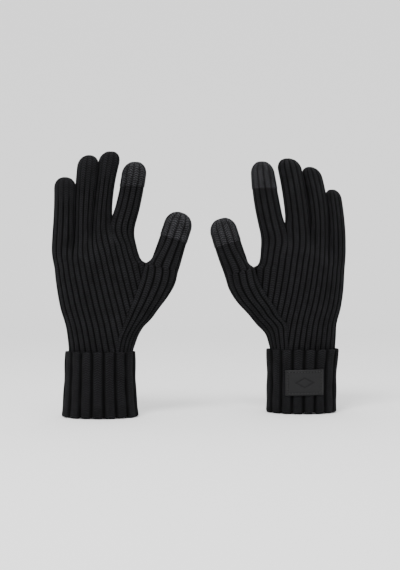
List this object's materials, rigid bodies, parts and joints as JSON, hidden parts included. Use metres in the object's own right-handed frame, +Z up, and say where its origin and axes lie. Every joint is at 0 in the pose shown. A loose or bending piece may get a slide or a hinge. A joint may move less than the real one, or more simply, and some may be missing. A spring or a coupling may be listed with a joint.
{
  "type": "touchscreen gloves",
  "caption": "Pair of chunky rib-knit gloves with turned-back cuffs and conductive knitted tips on thumb and index finger; fingers and thumbs bend.",
  "frame": {"origin": "middle of the pair on the surface it stands on, under the centre of its bounding box", "axes": "+Z up along the fingers, +X from the left-hand glove to the right-hand glove, +Y from the backs of the hands to the palms"},
  "size_m": [0.2984, 0.0818, 0.264],
  "materials": {
    "knit": "black acrylic and wool blend, chunky rib knit",
    "cuff_rib": "black wide rib knit, turned back double",
    "touch_yarn": "charcoal heather conductive yarn knit",
    "label": "smooth dark grey leather-look patch with a raised edge",
    "label_thread": "dark grey sewing thread",
    "care_label": "white satin tape"
  },
  "bodies": {
    "right_hand": {"right_hand_body": "knit", "right_cuff_turnback": "cuff_rib", "right_cuff_inner": "cuff_rib", "right_care_label": "care_label", "right_label_patch": "label", "right_label_stitching": "label_thread"},
    "right_index_lower_part": {"right_index_lower": "knit"},
    "right_index_middle_part": {"right_index_middle": "knit"},
    "right_index_tip_part": {"right_index_touch_tip": "touch_yarn"},
    "right_middle_lower_part": {"right_middle_lower": "knit"},
    "right_middle_middle_part": {"right_middle_middle": "knit"},
    "right_middle_tip_part": {"right_middle_tip": "knit"},
    "right_ring_lower_part": {"right_ring_lower": "knit"},
    "right_ring_middle_part": {"right_ring_middle": "knit"},
    "right_ring_tip_part": {"right_ring_tip": "knit"},
    "right_little_lower_part": {"right_little_lower": "knit"},
    "right_little_middle_part": {"right_little_middle": "knit"},
    "right_little_tip_part": {"right_little_tip": "knit"},
    "right_thumb_lower_part": {"right_thumb_lower": "knit"},
    "right_thumb_tip_part": {"right_thumb_touch_tip": "touch_yarn"},
    "left_hand": {"left_hand_body": "knit", "left_cuff_turnback": "cuff_rib", "left_cuff_inner": "cuff_rib", "left_care_label": "care_label"},
    "left_index_lower_part": {"left_index_lower": "knit"},
    "left_index_middle_part": {"left_index_middle": "knit"},
    "left_index_tip_part": {"left_index_touch_tip": "touch_yarn"},
    "left_middle_lower_part": {"left_middle_lower": "knit"},
    "left_middle_middle_part": {"left_middle_middle": "knit"},
    "left_middle_tip_part": {"left_middle_tip": "knit"},
    "left_ring_lower_part": {"left_ring_lower": "knit"},
    "left_ring_middle_part": {"left_ring_middle": "knit"},
    "left_ring_tip_part": {"left_ring_tip": "knit"},
    "left_little_lower_part": {"left_little_lower": "knit"},
    "left_little_middle_part": {"left_little_middle": "knit"},
    "left_little_tip_part": {"left_little_tip": "knit"},
    "left_thumb_lower_part": {"left_thumb_lower": "knit"},
    "left_thumb_tip_part": {"left_thumb_touch_tip": "touch_yarn"}
  },
  "joints": [
    {"name": "right_index_knuckle", "type": "hinge", "parent": "right_hand", "child": "right_index_lower_part", "pos_m": [0.07115, 0.01425, 0.202], "axis": [-1, 0, 0], "range_deg": [0, 60], "stiffness_Nm_per_rad": 0.02},
    {"name": "right_index_middle_joint", "type": "hinge", "parent": "right_index_lower_part", "child": "right_index_middle_part", "pos_m": [0.06607, 0.01425, 0.22077], "axis": [-1, 0, 0], "range_deg": [0, 60], "stiffness_Nm_per_rad": 0.02},
    {"name": "right_index_end_joint", "type": "hinge", "parent": "right_index_middle_part", "child": "right_index_tip_part", "pos_m": [0.06317, 0.01425, 0.23953], "axis": [-1, 0, 0], "range_deg": [0, 40], "stiffness_Nm_per_rad": 0.02},
    {"name": "right_middle_knuckle", "type": "hinge", "parent": "right_hand", "child": "right_middle_lower_part", "pos_m": [0.09865, 0.01686, 0.203], "axis": [-1, 0, 0], "range_deg": [0, 60], "stiffness_Nm_per_rad": 0.02},
    {"name": "right_middle_middle_joint", "type": "hinge", "parent": "right_middle_lower_part", "child": "right_middle_middle_part", "pos_m": [0.09618, 0.01708, 0.2228], "axis": [-1, 0, 0], "range_deg": [0, 60], "stiffness_Nm_per_rad": 0.02},
    {"name": "right_middle_end_joint", "type": "hinge", "parent": "right_middle_middle_part", "child": "right_middle_tip_part", "pos_m": [0.09345, 0.01774, 0.2426], "axis": [-1, 0, 0], "range_deg": [0, 40], "stiffness_Nm_per_rad": 0.02},
    {"name": "right_ring_knuckle", "type": "hinge", "parent": "right_hand", "child": "right_ring_lower_part", "pos_m": [0.12185, 0.01951, 0.19], "axis": [-1, 0, 0], "range_deg": [0, 60], "stiffness_Nm_per_rad": 0.02},
    {"name": "right_ring_middle_joint", "type": "hinge", "parent": "right_ring_lower_part", "child": "right_ring_middle_part", "pos_m": [0.12032, 0.02006, 0.2114], "axis": [-1, 0, 0], "range_deg": [0, 60], "stiffness_Nm_per_rad": 0.02},
    {"name": "right_ring_end_joint", "type": "hinge", "parent": "right_ring_middle_part", "child": "right_ring_tip_part", "pos_m": [0.11745, 0.02173, 0.2328], "axis": [-1, 0, 0], "range_deg": [0, 40], "stiffness_Nm_per_rad": 0.02},
    {"name": "right_little_knuckle", "type": "hinge", "parent": "right_hand", "child": "right_little_lower_part", "pos_m": [0.14035, 0.02096, 0.184], "axis": [-1, 0, 0], "range_deg": [0, 60], "stiffness_Nm_per_rad": 0.02},
    {"name": "right_little_middle_joint", "type": "hinge", "parent": "right_little_lower_part", "child": "right_little_middle_part", "pos_m": [0.13951, 0.02173, 0.19967], "axis": [-1, 0, 0], "range_deg": [0, 60], "stiffness_Nm_per_rad": 0.02},
    {"name": "right_little_end_joint", "type": "hinge", "parent": "right_little_middle_part", "child": "right_little_tip_part", "pos_m": [0.13804, 0.02407, 0.21533], "axis": [-1, 0, 0], "range_deg": [0, 40], "stiffness_Nm_per_rad": 0.02},
    {"name": "right_thumb_base_joint", "type": "hinge", "parent": "right_hand", "child": "right_thumb_lower_part", "pos_m": [0.03182, 0.01295, 0.15656], "axis": [-0.9561, 0, -0.2931], "range_deg": [0, 35], "stiffness_Nm_per_rad": 0.02},
    {"name": "right_thumb_end_joint", "type": "hinge", "parent": "right_thumb_lower_part", "child": "right_thumb_tip_part", "pos_m": [0.02398, 0.01367, 0.18214], "axis": [-0.9561, 0, -0.2931], "range_deg": [0, 50], "stiffness_Nm_per_rad": 0.02},
    {"name": "gloves_apart", "type": "slide", "parent": "right_hand", "child": "left_hand", "axis": [-1, 0, 0], "range_m": [0, 0.08]},
    {"name": "left_index_knuckle", "type": "hinge", "parent": "left_hand", "child": "left_index_lower_part", "pos_m": [-0.07455, -0.01287, 0.206], "axis": [-1, 0, 0], "range_deg": [0, 60], "stiffness_Nm_per_rad": 0.02},
    {"name": "left_index_middle_joint", "type": "hinge", "parent": "left_index_lower_part", "child": "left_index_middle_part", "pos_m": [-0.07134, -0.01332, 0.222], "axis": [-1, 0, 0], "range_deg": [0, 60], "stiffness_Nm_per_rad": 0.02},
    {"name": "left_index_end_joint", "type": "hinge", "parent": "left_index_middle_part", "child": "left_index_tip_part", "pos_m": [-0.06871, -0.01465, 0.238], "axis": [-1, 0, 0], "range_deg": [0, 40], "stiffness_Nm_per_rad": 0.02},
    {"name": "left_middle_knuckle", "type": "hinge", "parent": "left_hand", "child": "left_middle_lower_part", "pos_m": [-0.09825, -0.01696, 0.2075], "axis": [-1, 0, 0], "range_deg": [0, 60], "stiffness_Nm_per_rad": 0.02},
    {"name": "left_middle_middle_joint", "type": "hinge", "parent": "left_middle_lower_part", "child": "left_middle_middle_part", "pos_m": [-0.09648, -0.01752, 0.22633], "axis": [-1, 0, 0], "range_deg": [0, 60], "stiffness_Nm_per_rad": 0.02},
    {"name": "left_middle_end_joint", "type": "hinge", "parent": "left_middle_middle_part", "child": "left_middle_tip_part", "pos_m": [-0.09405, -0.01918, 0.24517], "axis": [-1, 0, 0], "range_deg": [0, 40], "stiffness_Nm_per_rad": 0.02},
    {"name": "left_ring_knuckle", "type": "hinge", "parent": "left_hand", "child": "left_ring_lower_part", "pos_m": [-0.11695, -0.02054, 0.193], "axis": [-1, 0, 0], "range_deg": [0, 60], "stiffness_Nm_per_rad": 0.02},
    {"name": "left_ring_middle_joint", "type": "hinge", "parent": "left_ring_lower_part", "child": "left_ring_middle_part", "pos_m": [-0.11546, -0.0211, 0.2152], "axis": [-1, 0, 0], "range_deg": [0, 60], "stiffness_Nm_per_rad": 0.02},
    {"name": "left_ring_end_joint", "type": "hinge", "parent": "left_ring_middle_part", "child": "left_ring_tip_part", "pos_m": [-0.11379, -0.02276, 0.2374], "axis": [-1, 0, 0], "range_deg": [0, 40], "stiffness_Nm_per_rad": 0.02},
    {"name": "left_little_knuckle", "type": "hinge", "parent": "left_hand", "child": "left_little_lower_part", "pos_m": [-0.13715, -0.02325, 0.185], "axis": [-1, 0, 0], "range_deg": [0, 60], "stiffness_Nm_per_rad": 0.02},
    {"name": "left_little_middle_joint", "type": "hinge", "parent": "left_little_lower_part", "child": "left_little_middle_part", "pos_m": [-0.13631, -0.02369, 0.20243], "axis": [-1, 0, 0], "range_deg": [0, 60], "stiffness_Nm_per_rad": 0.02},
    {"name": "left_little_end_joint", "type": "hinge", "parent": "left_little_middle_part", "child": "left_little_tip_part", "pos_m": [-0.13564, -0.02503, 0.21987], "axis": [-1, 0, 0], "range_deg": [0, 40], "stiffness_Nm_per_rad": 0.02},
    {"name": "left_thumb_base_joint", "type": "hinge", "parent": "left_hand", "child": "left_thumb_lower_part", "pos_m": [-0.03552, -0.01008, 0.1575], "axis": [-0.9497, 0, 0.3131], "range_deg": [0, 35], "stiffness_Nm_per_rad": 0.02},
    {"name": "left_thumb_end_joint", "type": "hinge", "parent": "left_thumb_lower_part", "child": "left_thumb_tip_part", "pos_m": [-0.02648, -0.0108, 0.18492], "axis": [-0.9497, 0, 0.3131], "range_deg": [0, 50], "stiffness_Nm_per_rad": 0.02}
  ],
  "couplings": [
    {"joint": "right_index_middle_joint", "follows": "right_index_knuckle", "ratio": 1},
    {"joint": "right_index_end_joint", "follows": "right_index_knuckle", "ratio": 0.66},
    {"joint": "right_middle_middle_joint", "follows": "right_middle_knuckle", "ratio": 1},
    {"joint": "right_middle_end_joint", "follows": "right_middle_knuckle", "ratio": 0.66},
    {"joint": "right_ring_middle_joint", "follows": "right_ring_knuckle", "ratio": 1},
    {"joint": "right_ring_end_joint", "follows": "right_ring_knuckle", "ratio": 0.66},
    {"joint": "right_little_middle_joint", "follows": "right_little_knuckle", "ratio": 1},
    {"joint": "right_little_end_joint", "follows": "right_little_knuckle", "ratio": 0.66},
    {"joint": "right_thumb_end_joint", "follows": "right_thumb_base_joint", "ratio": 1.42},
    {"joint": "left_index_middle_joint", "follows": "left_index_knuckle", "ratio": 1},
    {"joint": "left_index_end_joint", "follows": "left_index_knuckle", "ratio": 0.66},
    {"joint": "left_middle_middle_joint", "follows": "left_middle_knuckle", "ratio": 1},
    {"joint": "left_middle_end_joint", "follows": "left_middle_knuckle", "ratio": 0.66},
    {"joint": "left_ring_middle_joint", "follows": "left_ring_knuckle", "ratio": 1},
    {"joint": "left_ring_end_joint", "follows": "left_ring_knuckle", "ratio": 0.66},
    {"joint": "left_little_middle_joint", "follows": "left_little_knuckle", "ratio": 1},
    {"joint": "left_little_end_joint", "follows": "left_little_knuckle", "ratio": 0.66},
    {"joint": "left_thumb_end_joint", "follows": "left_thumb_base_joint", "ratio": 1.42}
  ]
}
